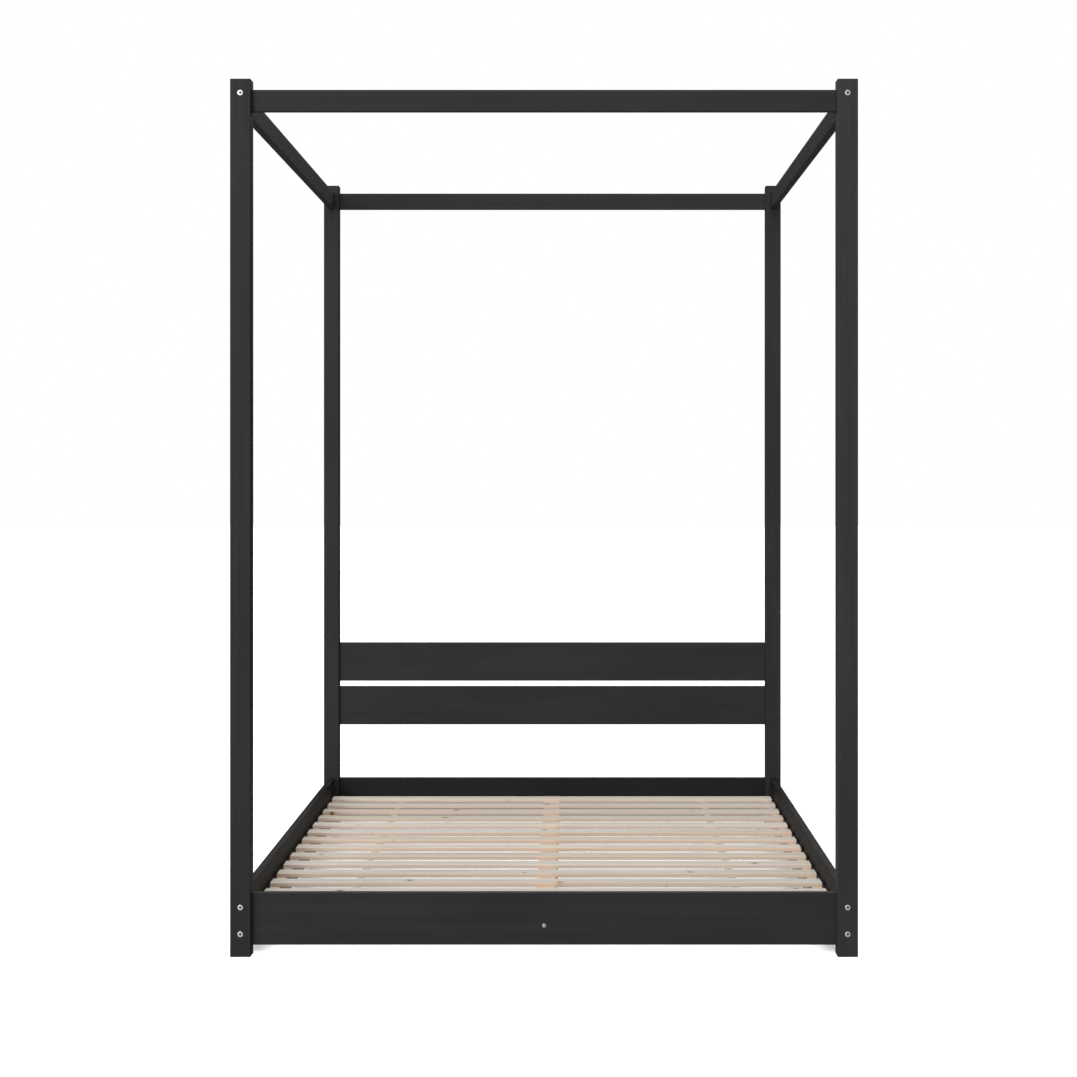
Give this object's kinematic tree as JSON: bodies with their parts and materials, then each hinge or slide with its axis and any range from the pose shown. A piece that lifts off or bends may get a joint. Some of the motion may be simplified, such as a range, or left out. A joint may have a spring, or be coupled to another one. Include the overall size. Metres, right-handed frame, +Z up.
{
  "type": "four poster canopy bed",
  "caption": "Canopy bed with tall square corner posts joined by rails at the top, a low slatted base and a plank headboard, in black painted pine.",
  "frame": {"origin": "on the floor, at the middle of the bed's footprint", "axes": "+Z up, +Y towards the head end, +X towards the right side as seen from the foot end"},
  "size_m": [1.43, 1.982, 2],
  "materials": {
    "black_paint": "satin black paint over pine, with the grain faintly showing",
    "natural_pine": "planed, unfinished pine",
    "woven_tape": "woven cotton webbing, undyed",
    "zinc_steel": "bright zinc plate"
  },
  "bodies": {
    "root": {"post_foot_left": "black_paint", "post_foot_right": "black_paint", "post_head_left": "black_paint", "post_head_right": "black_paint", "foot_rail": "black_paint", "head_rail": "black_paint", "side_rail_left": "black_paint", "side_rail_right": "black_paint", "canopy_rail_foot": "black_paint", "canopy_rail_head": "black_paint", "canopy_rail_left": "black_paint", "canopy_rail_right": "black_paint", "headboard_plank_lower": "black_paint", "headboard_plank_upper": "black_paint", "slat_ledger_left": "natural_pine", "slat_ledger_right": "natural_pine", "centre_beam": "natural_pine", "centre_leg": "natural_pine", "slat_tape_left": "woven_tape", "slat_tape_right": "woven_tape", "slat_01": "natural_pine", "slat_02": "natural_pine", "slat_03": "natural_pine", "slat_04": "natural_pine", "slat_05": "natural_pine", "slat_06": "natural_pine", "slat_07": "natural_pine", "slat_08": "natural_pine", "slat_09": "natural_pine", "slat_10": "natural_pine", "slat_11": "natural_pine", "slat_12": "natural_pine", "slat_13": "natural_pine", "slat_14": "natural_pine", "side_rail_bolt_foot_left_1": "zinc_steel", "side_rail_bolt_foot_left_2": "zinc_steel", "side_rail_bolt_foot_right_1": "zinc_steel", "side_rail_bolt_foot_right_2": "zinc_steel", "side_rail_bolt_head_left_1": "zinc_steel", "side_rail_bolt_head_left_2": "zinc_steel", "side_rail_bolt_head_right_1": "zinc_steel", "side_rail_bolt_head_right_2": "zinc_steel", "end_rail_bolt_foot_left_1": "zinc_steel", "end_rail_bolt_foot_left_2": "zinc_steel", "end_rail_bolt_foot_right_1": "zinc_steel", "end_rail_bolt_foot_right_2": "zinc_steel", "end_rail_bolt_head_left_1": "zinc_steel", "end_rail_bolt_head_left_2": "zinc_steel", "end_rail_bolt_head_right_1": "zinc_steel", "end_rail_bolt_head_right_2": "zinc_steel", "canopy_side_bolt_foot_left": "zinc_steel", "canopy_side_bolt_foot_right": "zinc_steel", "canopy_side_bolt_head_left": "zinc_steel", "canopy_side_bolt_head_right": "zinc_steel", "canopy_end_bolt_foot_left": "zinc_steel", "canopy_end_bolt_foot_right": "zinc_steel", "canopy_end_bolt_head_left": "zinc_steel", "canopy_end_bolt_head_right": "zinc_steel", "beam_bolt_foot": "zinc_steel", "beam_bolt_head": "zinc_steel"}
  },
  "joints": []
}
